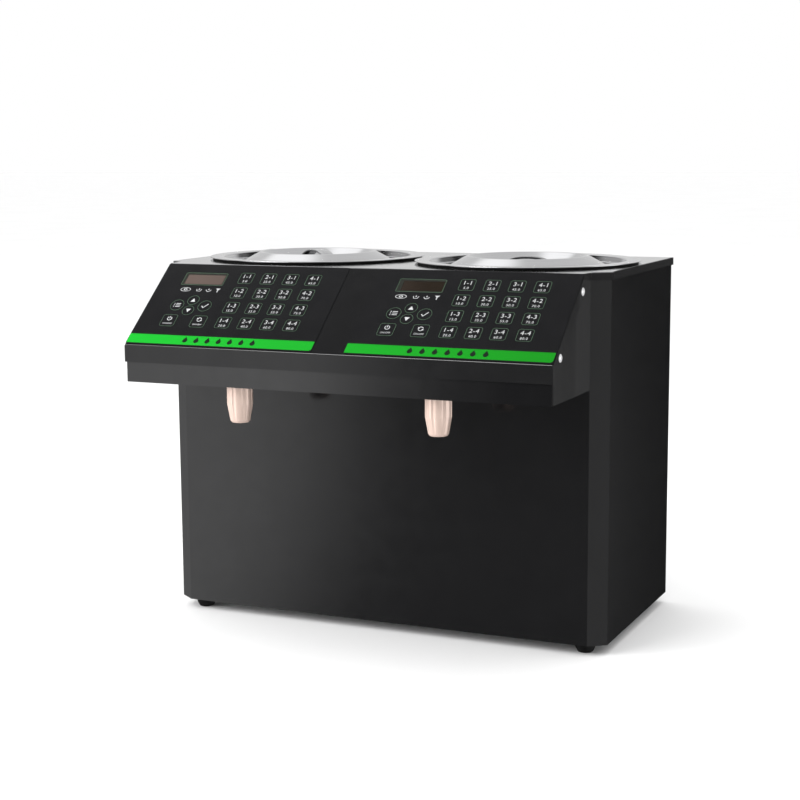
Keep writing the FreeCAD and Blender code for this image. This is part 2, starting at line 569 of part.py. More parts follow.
# ---------------------------------------------------------------- hoses
def hose_shape(pts, r_out, r_in, tag):
    """A tube along straight runs joined by tangent arcs as large as the runs allow."""
    P = [V(*p) for p in pts]
    edges, last, radii = [], P[0], []
    for i in range(1, len(P) - 1):
        a, c = P[i] - P[i - 1], P[i + 1] - P[i]
        la, lc = a.Length, c.Length
        a.normalize()
        c.normalize()
        cut = 0.45 * min(la, lc)
        t0, t1 = P[i] - a * cut, P[i] + c * cut
        bis = c - a
        bis.normalize()
        cosb = (1 + a.dot(c)) / 2.0
        tanh = ((1 - cosb) / cosb) ** 0.5
        rad = cut / tanh
        centre = P[i] + bis * (rad * rad + cut * cut) ** 0.5
        to = P[i] - centre
        to.normalize()
        mid = centre + to * rad
        if (t0 - last).Length > 1e-6:
            edges.append(Part.LineSegment(last, t0).toShape())
        edges.append(Part.Arc(t0, mid, t1).toShape())
        last = t1
        radii.append(rad)
    edges.append(Part.LineSegment(last, P[-1]).toShape())
    wire = Part.Wire(edges)
    d = P[1] - P[0]
    d.normalize()
    solids = []
    for r in (r_out, r_in):
        if r <= 0:
            continue
        ring = Part.Wire([Part.makeCircle(r, P[0], d)])
        solids.append(wire.makePipeShell([ring], True, True))
    shape = solids[0] if len(solids) == 1 else solids[0].cut(solids[1])
    area = 3.14159265 * (r_out ** 2 - r_in ** 2)
    print("%s length %.1f  arcs %s  volume ratio %.4f" % (
        tag, wire.Length, " ".join("%.0f" % r for r in radii), shape.Volume / (area * wire.Length)))
    return shape


def tubes(label, shapes):
    f = doc.addObject("Part::Feature", label)
    f.Label = label
    f.Shape = Part.Compound(shapes)
    f.Placement = FreeCAD.Placement()
    SUBPARTS.append(f)
    return f


tx, oy, pz = D["tank_x"].v, D["outlet_y"].v, D["pump_z"].v + D["gear_cd"].v / 2
py, ny = D["pump_y"].v, D["noz_y"].v
ho, hi_ = D["hose_r"].v, D["hose_bore"].v
suction = [(tx, oy, tz.v - 6), (tx, oy, 98), (tx, oy - 24, pz), (tx, py + 24, pz)]
delivery = [(tx, py - 24, pz), (tx, -28, pz), (108, -42, 96), (82, -42, 135), (62, -43, 185), (56, -43, 250),
            (64, -58, 301), (94, -88, 303), (None, -112, 291), (None, 13.5 - ny, 291)]
tubes("syrup_hoses", [hose_shape([(sx * (NX[sx].v if x is None else x), y, z) for x, y, z in route], ho, hi_, tag)
                      for tag, route in (("suction", suction), ("delivery", delivery)) for sx in (-1, 1)])

b = part("hose_clamps")
ci, co_ = D["hose_r"] + 0.05, D["hose_r"] + 1.2
pzq = D["pump_z"] + D["gear_cd"] / 2
ends = [(sx * D["tank_x"], r) for sx in (-1, 1) for r in (ci, co_)]
ext(b, "XY", [circ(x, D["outlet_y"], r) for x, r in ends], tz - 14, tz - 8)
ext(b, "XZ", [circ(x, pzq, r) for x, r in ends], D["pump_y"] + 26, D["pump_y"] + 32)
ext(b, "XZ", [circ(x, pzq, r) for x, r in ends], D["pump_y"] - 32, D["pump_y"] - 26)
ext(b, "XZ", [circ(sx * NX[sx], 291, r) for sx in (-1, 1) for r in (ci, co_)], 16 - D["noz_y"], 22 - D["noz_y"])

# ---------------------------------------------------------------- pumps
PX, PY, PZ, CD = D["pump_x"], D["pump_y"], D["pump_z"], D["gear_cd"]
cav, wall = D["cav_d"], 7.8
plate_x = PX + cav + wall
corners = [(PY + a, PZ + CD / 2 + c) for a in (-16, 16) for c in (-21, 21)]


def box_yz(half_y, z0, z1):
    return rect(PY - half_y, PY + half_y, z0, z1)


b = part("pump_bodies")
for sx in (-1, 1):
    lo, hi = side(sx, PX, plate_x)
    ext(b, "YZ", [box_yz(20, PZ - 16, PZ + CD + 16)], lo, hi)
    ext(b, "XZ", [circ(sx * D["tank_x"], pzq, D["barb_r"])], PY - 36, PY + 36)
    ext(b, "XZ", [circ(sx * D["tank_x"], pzq, 5.9)], PY - 23, PY + 23)
    lo, hi = side(sx, PX - 1, PX + cav)
    cutx(b, "YZ", [circ(PY, PZ, D["cav_r"])], lo, hi)
    cutx(b, "YZ", [circ(PY, PZ + CD, D["cav_r"])], lo, hi)
    cutx(b, "XZ", [circ(sx * D["tank_x"], pzq, 2.6)], PY - 37, PY + 37)
    lo, hi = side(sx, PX + cav - 1, plate_x + 1)
    cutx(b, "YZ", [circ(PY, PZ, 5.0)], lo, hi)
    lo, hi = side(sx, PX + cav - 1, PX + cav + 5)
    cutx(b, "YZ", [circ(PY, PZ + CD, 2.52)], lo, hi)
    lo, hi = side(sx, PX - 1, PX + 15)
    cutx(b, "YZ", [circ(y, z, 2.02) for y, z in corners], lo, hi)
b = part("pump_covers")
for sx in (-1, 1):
    lo, hi = side(sx, PX - 5, PX)
    ext(b, "YZ", [box_yz(20, PZ - 16, PZ + CD + 16)], lo, hi)
    lo, hi = side(sx, PX - 6, PX + 1)
    cutx(b, "YZ", [circ(y, z, 2.3) for y, z in corners], lo, hi)
b = part("pump_screws")
for sx in (-1, 1):
    lo, hi = side(sx, PX - 8.5, PX - 5)
    ext(b, "YZ", [circ(y, z, 3.5) for y, z in corners], lo, hi)
    lo, hi = side(sx, PX - 5, PX + 13)
    ext(b, "YZ", [circ(y, z, 2.0) for y, z in corners], lo, hi)
b = part("shaft_bushes")
for sx in (-1, 1):
    lo, hi = side(sx, PX + cav, plate_x)
    ext(b, "YZ", [circ(PY, PZ, 4.98), circ(PY, PZ, D["shaft_r"] + 0.05)], lo, hi)
b = part("idler_pins")
for sx in (-1, 1):
    lo, hi = side(sx, PX + 0.2, PX + cav + 4.8)
    ext(b, "YZ", [circ(PY, PZ + CD, 2.5)], lo, hi)
b = part("pump_brackets")
for sx in (-1, 1):
    lo, hi = side(sx, plate_x, plate_x + 3)
    ext(b, "YZ", [box_yz(25, D["base_z"] + g, PZ + CD + 16)], lo, hi)
    lo, hi = side(sx, plate_x, plate_x + 32)
    ext(b, "YZ", [box_yz(25, D["base_z"] + g, D["base_z"] + g + 3)], lo, hi)
    lo, hi = side(sx, plate_x - 1, plate_x + 4)
    cutx(b, "YZ", [circ(PY, PZ, 6)], lo, hi)
mx = plate_x + 3
b = part("pump_motors")
for sx in (-1, 1):
    lo, hi = side(sx, mx, mx + D["motor_len"])
    ext(b, "YZ", [circ(PY, PZ, D["motor_r"])], lo, hi)
    lo, hi = side(sx, mx + D["motor_len"], mx + D["motor_len"] + 3)
    ext(b, "YZ", [circ(PY, PZ, D["motor_r"] - 3)], lo, hi)
    lo, hi = side(sx, mx + D["motor_len"] + 3, mx + D["motor_len"] + 10)
    ext(b, "YZ", [rect(PY - 12, PY - 7, PZ - 3, PZ + 3), rect(PY + 7, PY + 12, PZ - 3, PZ + 3)], lo, hi)
    lo, hi = side(sx, mx - 1, mx + 30)
    cutx(b, "YZ", [circ(PY, PZ, D["shaft_r"] + 0.05)], lo, hi)
for sx, name in ((-1, "left"), (1, "right")):
    b = part("motor_shaft_" + name)
    lo, hi = side(sx, PX + 0.3, mx + 28)
    ext(b, "YZ", [circ(PY, PZ, D["shaft_r"])], lo, hi)


def polar(r, deg):
    """A point of the gear profile, from its radius and angle in degrees."""
    a = FreeCAD.Rotation(V(0, 0, 1), deg).multVec(V(1, 0, 0))
    mod = D["gear_cd"] / D["teeth"]
    return (mod * (r / 1.5 * a.x), mod * (r / 1.5 * a.y))


def gear(label, sx, z, bore, phase):
    b = part(label, 0, PY, z)
    lo, hi = side(sx, PX + 0.2, PX + 0.2 + D["gear_w"])
    ext(b, "YZ", [circ(0, 0, D["gear_cd"] / D["teeth"] * 4.75)], lo, hi)
    flank = [(6.5, 8.2), (7.2, 7.9), (8.457, 7.5), (9.0, 6.6), (9.6, 4.95), (10.35, 2.2)]
    pts = [polar(r, phase - a) for r, a in flank] + [polar(r, phase + a) for r, a in flank[::-1]]
    f = ext(b, "YZ", [("p", pts)], lo, hi)
    around(b, f, "X_Axis", D["teeth"])
    cutx(b, "YZ", [circ(0, 0, bore)], lo - 1, hi + 1)
    return b


for sx, name in ((-1, "left"), (1, "right")):
    gear("drive_gear_" + name, sx, PZ, D["shaft_r"] + 0.02, 90)
    gear("idler_gear_" + name, sx, PZ + CD, 2.56, 255)

# ---------------------------------------------------------------- valves and nozzles
hz = D["head_z"]
for sx, name in ((-1, "left"), (1, "right")):
    b = part("valve_body_" + name, sx * NX[sx], -D["noz_y"], 0)
    rev(b, [(7, 256), (D["spigot"], 256), (D["spigot"], hz + g), (15, hz + g), (15, hz + g + 3), (11, hz + g + 3),
            (11, 300), (10, 301), (0, 301), (0, 296), (4, 296), (4, 286), (7, 283)])
    ext(b, "XZ", [circ(0, 291, D["barb_r"])], 9, 30)
    ext(b, "XZ", [circ(0, 291, 6.2)], 9, 13)
    cutx(b, "XZ", [circ(0, 291, 2.6)], 2, 31)
b = part("spring_retainers")
nz = [(sx * NX[sx], -D["noz_y"]) for sx in (-1, 1)]
ext(b, "XY", [circ(x, y, r) for x, y in nz for r in (6.95, 1.9)], 256.3, 258.3)
cutx(b, "XY", [circ(x + a, y + c, 1.1) for x, y in nz for a, c in ((5.1, 0), (-5.1, 0), (0, 5.1), (0, -5.1))], 256, 259)
for sx, name in ((-1, "left"), (1, "right")):
    b = part("valve_poppet_" + name, sx * NX[sx], -D["noz_y"], 0)
    rev(b, [(0, 255), (1.5, 255), (1.5, 281), (5.6, 281), (5.6, 284.2), (3.3, 286.5), (0, 286.5)])
    b = part("valve_spring_" + name, sx * NX[sx], -D["noz_y"], 0)
    sk = sketch(b, "XZ", [circ(3.6, 258.9, 0.4)], 0)
    f = b.newObject("PartDesign::AdditiveHelix", b.Name + "_coil")
    f.Profile = sk
    f.ReferenceAxis = (sk, ["V_Axis"])
    f.Mode = "pitch-height-angle"
    f.Pitch = 2.7
    f.Height = 21.5
    f.Angle = 0
    b = part("nozzle_" + name, sx * NX[sx], -D["noz_y"], 0)
    nr, n0 = D["noz_rad"], D["noz_z"]
    rev(b, [(nr, hz - 0.4), (nr, n0 + 19), (10.3, n0 + 2), (9.0, n0), (5.5, n0), (5.5, n0 + 4), (9.2, n0 + 17),
            (9.6, n0 + 21.4), (D["spigot"] + 0.05, n0 + 21.6), (D["spigot"] + 0.05, hz - 0.4)])
    f = cutx(b, "XY", [circ(nr + 2.4, 0, 3.2)], n0 + 17, hz + 1)
    around(b, f, "Z_Axis", D["flutes"])

# ---------------------------------------------------------------- electrics
ix, iz, sw = D["inlet_x"], D["inlet_z"], D["switch_x"]
b = part("power_inlet", -ix, RR, iz)
ext(b, "XZ", [rect(-24, 24, -13.5, 13.5)], 0, 2.5)
fillet(b, lambda m, e: abs(abs(m.x) - 24) < 0.01 and abs(abs(m.z) - 13.5) < 0.01, 5)
ext(b, "XZ", [rect(-13.6, 13.6, -10, 10)], -28, 0.5)
cutx(b, "XZ", [("p", [(-12.2, -8.4), (12.2, -8.4), (12.2, 4.6), (8.4, 8.4), (-8.4, 8.4), (-12.2, 4.6)])], -14, 3)
ext(b, "XZ", [rect(-8, -6, -4.5, -0.5), rect(6, 8, -4.5, -0.5), rect(-1, 1, 2, 6)], -15, 0)
cutx(b, "XZ", [circ(-20, 0, 1.7), circ(20, 0, 1.7)], -1, 3)

b = part("switch_housing", -sw, RR, iz)
ext(b, "XZ", [rect(-9, 9, -12.5, 12.5)], 0, 1.6)
fillet(b, lambda m, e: abs(abs(m.x) - 9) < 0.01 and abs(abs(m.z) - 12.5) < 0.01, 1.2)
ext(b, "XZ", [rect(-7.5, 7.5, -11, 11)], -20, 0.5)
cutx(b, "XZ", [rect(-6.4, 6.4, -10.1, 10.1)], -13, 3)
cutx(b, "YZ", [circ(-3, 0, 1.3)], -7.0, 7.0)

b = part("rocker_switch", -sw, RR - 3, iz)
b.Placement = FreeCAD.Placement(V(0, 0, 0), FreeCAD.Rotation(V(1, 0, 0), -11))
b.setExpression("Placement.Base.x", (-sw).s)
b.setExpression("Placement.Base.y", (RR - 3).s)
b.setExpression("Placement.Base.z", iz.s)
ext(b, "YZ", [("p", [(-3.0, -5), (-3.0, 5), (-1.0, 8.2), (5.9, 8.9), (4.3, 0), (5.9, -8.9), (-1.0, -8.2)])], -6.1, 6.1)
ext(b, "YZ", [circ(0, 0, 1.23)], -6.9, 6.9)

b = part("power_supply")
ext(b, "XY", [rect(-55, 55, 84, 162)], D["base_z"] + g, 46)
cutx(b, "XY", [circ(-45 + 10 * i, 100 + 12 * j, 2.5) for i in range(10) for j in range(4)], 44, 47)

b = part("main_board")
ext(b, "XY", [rect(-64, 64, -48, 18)], 21, 22.6)
ext(b, "XY", [circ(sx * 59, y, 3) for sx in (-1, 1) for y in (-43, 13)], D["base_z"] + g, 21)
ext(b, "XY", [rect(-50, -34, -30, -14), rect(-28, -12, -30, -14), rect(20, 48, -34, -12)], 22.6, 36)
ext(b, "XY", [rect(-12, 12, 4, 14), rect(-30, -14, -46, -40), rect(14, 30, -46, -40)], 22.6, 30)
ext(b, "XY", [rect(-63, -55, -8, 4), rect(55, 63, -8, 4)], 22.6, 30)

# Wiring between inlet, switch, supply, boards and motors.
yr = RR.v
inx, swx, z0 = -ix.v, -sw.v, iz.v
loom = [
    [(inx, yr - 28.8, z0), (inx, yr - 46, z0 - 1), (inx + 14, 108, 53), (-112, 100, 42), (-84, 98, 35), (-55.8, 98, 34)],
    [(swx, yr - 20.8, z0), (swx, yr - 36, z0 - 1), (-98, 124, 50), (-80, 120, 38), (-55.8, 120, 34)],
    [(0, 83.2, 30), (0, 66, 30), (2, 44, 29), (3, 30, 27), (3, 14.8, 26)],
]
mend = (mx + D["motor_len"] + 10).v
for sx in (-1, 1):
    loom.append([(sx * (mend + 0.8), py - 9.5, pz - 9), (sx * (mend + 13), py - 11, pz - 12),
                 (sx * (mend + 13), py - 28, pz - 26), (sx * (mend - 6), py - 48, 32), (sx * 180, -27, 24),
                 (sx * 140, -24, 24), (sx * 96, -12, 25), (sx * 64.2, -2, 26)])
    loom.append([(sx * 22, -43, 30.6), (sx * 22, -43.5, 46), (sx * 24, -51, 86), (sx * 22, -51, 140), (sx * 22, -51.5, 200),
                 (sx * 22, -51, 260), (sx * 23, -57, 302), (sx * 34, -84, 320), (sx * 62, -98, 322),
                 ((-129.0 + 6) if sx < 0 else (D["panel_pitch"].v - 129.0 - 6), -112, 334)])
tubes("wire_harness", [hose_shape(p, 2.0, 0, "wires") for p in loom])

# ---------------------------------------------------------------- checks, output
doc.recompute()
bad = [o.Name for o in doc.Objects if "Invalid" in o.State or "Error" in o.State]
for b in SUBPARTS:
    if b.Shape.isNull() or not b.Shape.isValid() or not b.Shape.Solids:
        bad.append(b.Label + " shape")
for b, f, cut in STEPS:
    base = getattr(f, "BaseFeature", None)
    before = base.Shape.Volume if base is not None else 0.0
    if (f.Shape.Volume >= before - 1e-6) if cut else (f.Shape.Volume <= before + 1e-6):
        bad.append("%s changed nothing" % f.Name)
if bad:
    raise RuntimeError("failed: " + ", ".join(bad))
labels = [b.Label for b in SUBPARTS]
if len(set(labels)) != len(labels) or len(labels) > 60:
    raise RuntimeError("labels: %d" % len(labels))
box = FreeCAD.BoundBox()
for b in SUBPARTS:
    b.Shape.exportStep("parts/%s.step" % b.Label)
    box.add(b.Shape.BoundBox)
print("%d sub-parts, %d solids" % (len(labels), sum(len(b.Shape.Solids) for b in SUBPARTS)))
print("box", box)
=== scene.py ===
import json
import math

import bmesh
import bpy
from mathutils import Matrix, Vector


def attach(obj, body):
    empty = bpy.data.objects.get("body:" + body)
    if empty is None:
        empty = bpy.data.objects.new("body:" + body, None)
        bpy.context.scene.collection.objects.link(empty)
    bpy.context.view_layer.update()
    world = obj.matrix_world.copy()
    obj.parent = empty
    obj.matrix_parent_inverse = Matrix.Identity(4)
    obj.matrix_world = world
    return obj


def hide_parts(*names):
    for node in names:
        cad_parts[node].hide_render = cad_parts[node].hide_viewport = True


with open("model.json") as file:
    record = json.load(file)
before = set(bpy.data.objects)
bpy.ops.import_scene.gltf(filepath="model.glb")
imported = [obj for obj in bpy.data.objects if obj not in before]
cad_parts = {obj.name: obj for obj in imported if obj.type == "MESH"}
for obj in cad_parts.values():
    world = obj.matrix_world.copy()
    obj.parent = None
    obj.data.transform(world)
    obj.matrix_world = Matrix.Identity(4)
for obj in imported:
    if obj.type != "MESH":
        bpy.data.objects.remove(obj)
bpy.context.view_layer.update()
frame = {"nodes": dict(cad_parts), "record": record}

scene = bpy.context.scene
scene.view_settings.view_transform = "Standard"
scene.view_settings.look = "None"
NODES = frame["nodes"]
SLOT_OF = {p["node"]: p["material_slot"] for p in frame["record"]["subparts"]}


# ------------------------------------------------------------------ materials
class Mat:
    """A small helper for building one procedural material."""

    def __init__(self, name):
        self.m = bpy.data.materials.new(name)
        self.m.use_nodes = True
        self.t = self.m.node_tree
        self.bsdf = self.t.nodes["Principled BSDF"]
        self.tc = self.t.nodes.new("ShaderNodeTexCoord")

    def set(self, **kw):
        for k, v in kw.items():
            self.bsdf.inputs[k.replace("_", " ")].default_value = v
        return self

    def node(self, kind, **kw):
        n = self.t.nodes.new(kind)
        for k, v in kw.items():
            setattr(n, k, v)
        return n

    def link(self, a, b):
        self.t.links.new(a, b)

    def coords(self, scale, move=(0, 0, 0)):
        mp = self.node("ShaderNodeMapping")
        mp.inputs["Scale"].default_value = scale
        mp.inputs["Location"].default_value = move
        self.link(self.tc.outputs["Object"], mp.inputs["Vector"])
        return mp.outputs["Vector"]

    def noise(self, scale, detail=2.0, rough=0.5, vec=None, stretch=(1, 1, 1)):
        n = self.node("ShaderNodeTexNoise")
        n.inputs["Scale"].default_value = scale
        n.inputs["Detail"].default_value = detail
        n.inputs["Roughness"].default_value = rough
        self.link(vec if vec is not None else self.coords(stretch), n.inputs["Vector"])
        return n.outputs["Fac"]

    def ramp(self, fac, lo, hi, a=0.3, b=0.7):
        r = self.node("ShaderNodeMapRange")
        r.inputs["From Min"].default_value = a
        r.inputs["From Max"].default_value = b
        r.inputs["To Min"].default_value = lo
        r.inputs["To Max"].default_value = hi
        self.link(fac, r.inputs["Value"])
        return r.outputs["Result"]

    def colour(self, fac, ca, cb, a=0.3, b=0.7):
        r = self.node("ShaderNodeValToRGB")
        r.color_ramp.elements[0].position = a
        r.color_ramp.elements[0].color = (*ca, 1)
        r.color_ramp.elements[1].position = b
        r.color_ramp.elements[1].color = (*cb, 1)
        self.link(fac, r.inputs["Fac"])
        self.link(r.outputs["Color"], self.bsdf.inputs["Base Color"])

    def rough(self, fac, lo, hi, a=0.3, b=0.7):
        self.link(self.ramp(fac, lo, hi, a, b), self.bsdf.inputs["Roughness"])

    def bump(self, fac, strength, distance):
        b = self.node("ShaderNodeBump")
        b.inputs["Strength"].default_value = strength
        b.inputs["Distance"].default_value = distance
        self.link(fac, b.inputs["Height"])
        self.link(b.outputs["Normal"], self.bsdf.inputs["Normal"])


def coat(name, ca, cb, r0, r1, grain=1.0, spec=0.5):
    m = Mat(name).set(Specular_IOR_Level=spec)
    m.colour(m.noise(35, 3), ca, cb)
    m.rough(m.noise(60, 4), r0, r1)
    m.bump(m.noise(1500, 2), 0.05 * grain, 0.00005)
    return m.m


def painted_sheen_coat(name, ca, cb, r0, r1, stops, rest, axis, a, b):
    """A powder coat with a painted reflection: its specular level is ramped from left to right on the front face to
    stand in for the softbox reflection, and is even elsewhere.
    """
    m = Mat(name)
    m.colour(m.noise(35, 3), ca, cb)
    m.rough(m.noise(60, 4), r0, r1)
    m.bump(m.noise(1500, 2), 0.05, 0.00005)
    sx = m.node("ShaderNodeSeparateXYZ")
    m.link(m.tc.outputs["Object"], sx.inputs["Vector"])
    mix = m.node("ShaderNodeMix", data_type="FLOAT")
    m.link(m.ramp(sx.outputs[axis], 0.0, 1.0, a, b), mix.inputs[0])
    # painted reflection: specular level stepped along X on the front face
    run = m.node("ShaderNodeValToRGB")
    while len(run.color_ramp.elements) < len(stops):
        run.color_ramp.elements.new(0.5)
    for e, (x, v) in zip(run.color_ramp.elements, stops):
        e.position = (x + 0.235) / 0.47
        e.color = (v, v, v, 1)
    m.link(m.ramp(sx.outputs["X"], 0.0, 1.0, -0.235, 0.235), run.inputs["Fac"])
    m.link(run.outputs["Color"], mix.inputs[2])
    mix.inputs[3].default_value = rest
    m.link(mix.outputs[0], m.bsdf.inputs["Specular IOR Level"])
    return m.m


def brushed(name, ca, cb, r0, r1, stretch, aniso=0.5, strength=0.25):
    m = Mat(name).set(Metallic=1.0, Anisotropic=aniso)
    n = m.noise(1.0, 3, 0.6, stretch=stretch)
    m.colour(n, ca, cb)
    m.rough(n, r0, r1)
    m.bump(n, strength, 0.00003)
    return m.m


def spun(name, ca, cb, r0, r1, cx, cy, aniso=0.8):
    """Metal turned about a vertical axis through (cx, cy)."""
    m = Mat(name).set(Metallic=1.0, Anisotropic=aniso)
    sub = m.node("ShaderNodeVectorMath", operation="SUBTRACT")
    m.link(m.tc.outputs["Object"], sub.inputs[0])
    sub.inputs[1].default_value = (cx, cy, 0)
    mul = m.node("ShaderNodeVectorMath", operation="MULTIPLY")
    m.link(sub.outputs["Vector"], mul.inputs[0])
    mul.inputs[1].default_value = (1, 1, 0)
    ln = m.node("ShaderNodeVectorMath", operation="LENGTH")
    m.link(mul.outputs["Vector"], ln.inputs[0])
    n = m.node("ShaderNodeTexNoise", noise_dimensions="1D")
    n.inputs["Scale"].default_value = 1400
    n.inputs["Detail"].default_value = 3
    m.link(ln.outputs["Value"], n.inputs["W"])
    m.colour(n.outputs["Fac"], ca, cb)
    m.rough(n.outputs["Fac"], r0, r1)
    m.bump(n.outputs["Fac"], 0.2, 0.00003)
    tan = m.node("ShaderNodeTangent", direction_type="RADIAL", axis="Z")
    m.link(tan.outputs["Tangent"], m.bsdf.inputs["Tangent"])
    return m.m


def plastic(name, ca, cb, r0, r1, scale=50, bump=0.05, fine=1500, coatw=0.0, metallic=0.0, spec=0.5):
    m = Mat(name).set(Coat_Weight=coatw, Metallic=metallic, Specular_IOR_Level=spec)
    m.colour(m.noise(scale, 3), ca, cb)
    m.rough(m.noise(scale * 1.7, 3), r0, r1)
    m.bump(m.noise(fine, 2), bump, 0.00005)
    return m.m


CX, TY = 0.1253, 0.0525
M = {
    "cabinet": coat("powder_cabinet", (0.0056, 0.0056, 0.0060), (0.0066, 0.0066, 0.0070), 0.11, 0.15),
    "trim": coat("powder_trim", (0.0068, 0.0068, 0.0072), (0.0080, 0.0080, 0.0084), 0.20, 0.26, 1.0, 0.26),
    "deck": brushed("deck_steel", (0.40, 0.40, 0.41), (0.46, 0.46, 0.47), 0.08, 0.12, (6, 700, 700), 0.2, 0.05),
    "handles": brushed("handle_steel", (0.56, 0.56, 0.57), (0.66, 0.66, 0.67), 0.14, 0.20, (400, 400, 60), 0.3, 0.08),
    # a darker copy of the handle steel, used as painted shade on strap undersides and the whole right handle
    "grip_painted_shade": brushed("handle_steel_shaded", (0.075, 0.075, 0.079), (0.105, 0.105, 0.109), 0.14, 0.20, (400, 400, 60), 0.3, 0.08),
    "tanks": spun("tank_steel", (0.5, 0.5, 0.51), (0.6, 0.6, 0.61), 0.25, 0.35, -CX, TY),
    "inner_steel": brushed("turned_steel", (0.45, 0.45, 0.46), (0.58, 0.58, 0.59), 0.25, 0.38, (400, 400, 400), 0.0, 0.1),
    "zinc": plastic("zinc_plate", (0.45, 0.47, 0.5), (0.6, 0.61, 0.63), 0.3, 0.42, 70, 0.05, 1500, 0, 1.0),
    "screws": plastic("screw_steel", (0.80, 0.80, 0.81), (0.88, 0.88, 0.89), 0.22, 0.28, 90, 0.02, 1500, 0, 0.30),
    "rubber": plastic("foot_rubber", (0.006, 0.006, 0.006), (0.010, 0.010, 0.010), 0.6, 0.75, 120, 0.2, 900, spec=0.3),
    "seals": plastic("seal_rubber", (0.004, 0.004, 0.004), (0.006, 0.006, 0.006), 0.55, 0.7, 120, 0.1, 900, spec=0.2),
    "film": plastic("keypad_film", (0.0062, 0.0062, 0.0068), (0.0072, 0.0072, 0.0078), 0.17, 0.21, 40, 0.04, 1800, spec=0.26),
    "plungers": plastic("plunger_plastic", (0.5, 0.5, 0.48), (0.6, 0.6, 0.58), 0.4, 0.5),
    "boards": plastic("solder_resist", (0.01, 0.09, 0.035), (0.015, 0.12, 0.05), 0.25, 0.35),
    "nozzles": plastic("champagne_moulding", (0.66, 0.505, 0.435), (0.69, 0.53, 0.455), 0.16, 0.21, 60, 0.02, 900, 0.0, 0.26),
    "acetal": plastic("acetal", (0.5, 0.5, 0.47), (0.56, 0.56, 0.53), 0.3, 0.4),
    "hoses": plastic("food_hose", (0.42, 0.42, 0.38), (0.5, 0.5, 0.45), 0.2, 0.3),
    "bronze": plastic("sintered_bronze", (0.36, 0.22, 0.08), (0.46, 0.29, 0.11), 0.4, 0.5, 200, 0.2, 2000, 0, 1.0),
    "motors": plastic("black_oxide", (0.02, 0.02, 0.022), (0.035, 0.035, 0.037), 0.35, 0.45, 60, 0.05, 1500, 0, 0.6),
    "black_plastic": plastic("black_moulding", (0.007, 0.007, 0.0075), (0.010, 0.010, 0.0105), 0.36, 0.46, 60, 0.25, 1400),
    "rocker": plastic("rocker_moulding", (0.006, 0.006, 0.0065), (0.009, 0.009, 0.0095), 0.16, 0.24, 60, 0.03, 1400),
    "supply": plastic("supply_case", (0.5, 0.5, 0.5), (0.6, 0.6, 0.6), 0.3, 0.4, 60, 0.05, 1500, 0, 1.0),
    "wires": plastic("wire_sleeve", (0.008, 0.008, 0.008), (0.014, 0.014, 0.014), 0.45, 0.6, 200, 0.4, 2500),
}


def painted_falloff_across(name, ca, cb, r0, r1, x0=-0.235, x1=0.235, spec=0.5):
    """A colour that darkens evenly from the left to the right of the console: painted light falloff from the lamp on
    the left.
    """
    m = Mat(name).set(Specular_IOR_Level=spec)
    sx = m.node("ShaderNodeSeparateXYZ")
    m.link(m.tc.outputs["Object"], sx.inputs["Vector"])
    # painted light falloff: colour ramped along X
    base = m.ramp(sx.outputs["X"], 0.0, 1.0, x0, x1)
    mix = m.node("ShaderNodeMath", operation="MULTIPLY_ADD")
    m.link(m.noise(50, 3), mix.inputs[0])
    mix.inputs[1].default_value = 0.06
    m.link(base, mix.inputs[2])
    m.colour(mix.outputs[0], ca, cb, 0.03, 1.0)
    m.rough(m.noise(90, 3), r0, r1)
    return m.m


# smoked window tint with painted light falloff: lighter at the left window, darker at the right
M["window"] = painted_falloff_across("smoked_window", (0.082, 0.060, 0.052), (0.012, 0.008, 0.005), 0.10, 0.14, -0.19, 0.08)
# head front and cover lip: the specular stops are a painted reflection of the studio softboxes
M["head_coat"] = painted_sheen_coat("powder_head_painted_sheen", (0.0056, 0.0056, 0.0060), (0.0066, 0.0066, 0.0070), 0.11, 0.15,
                       ((-0.235, 0.53), (-0.11, 0.60), (0.0, 0.80), (0.10, 0.78), (0.16, 0.40), (0.20, 0.12), (0.235, 0.08)),
                       0.80, "Y", -0.1735, -0.1700)
M["cover_coat"] = painted_sheen_coat("powder_cover_painted_sheen", (0.0056, 0.0056, 0.0060), (0.0066, 0.0066, 0.0070), 0.11, 0.15,
                        ((-0.235, 0.33), (-0.11, 0.36), (0.0, 0.54), (0.10, 0.66), (0.20, 0.80), (0.235, 0.84)),
                        0.60, "Z", 0.3105, 0.3125)
M_LID = {s: spun("lid_steel_" + s, (0.58, 0.58, 0.59), (0.66, 0.66, 0.67), 0.11, 0.16, x * CX, TY, 0.55)
         for s, x in (("left", -1), ("right", 1))}
M_TANK = {s: spun("tank_steel_" + s, (0.5, 0.5, 0.51), (0.6, 0.6, 0.61), 0.25, 0.35, x * CX, TY, 0.6)
          for s, x in (("left", -1), ("right", 1))}
INK_WHITE = plastic("ink_white", (0.38, 0.385, 0.39), (0.42, 0.425, 0.43), 0.4, 0.5, 90, 0.02)
INK_LINE = plastic("ink_line_green", (0.036, 0.074, 0.040), (0.043, 0.087, 0.047), 0.4, 0.5, 90, 0.02)
# real green band print, with painted light falloff from left to right
INK_BAND = painted_falloff_across("ink_band_green", (0.004, 0.300, 0.016), (0.003, 0.178, 0.005), 0.50, 0.58, spec=0.10)
INK_REVEAL = plastic("reveal_dark", (0.007, 0.008, 0.006), (0.010, 0.011, 0.008), 0.3, 0.4, 90, 0.02, spec=0.3)
INK_DARK = plastic("ink_dark", (0.003, 0.010, 0.004), (0.005, 0.013, 0.006), 0.4, 0.5, 90, 0.02, spec=0.12)

for name, o in NODES.items():
    s = SLOT_OF[name]
    o.data.materials.clear()
    # the right handle node takes the darker steel copy as painted shade; head and cover take painted-reflection coats
    own = {"tank_left": M_TANK["left"], "tank_right": M_TANK["right"], "head_shell": M["head_coat"],
           "console_cover": M["cover_coat"], "lid_handle_right": M["grip_painted_shade"]}
    o.data.materials.append(own.get(name) or M.get(s, M["cabinet"]))


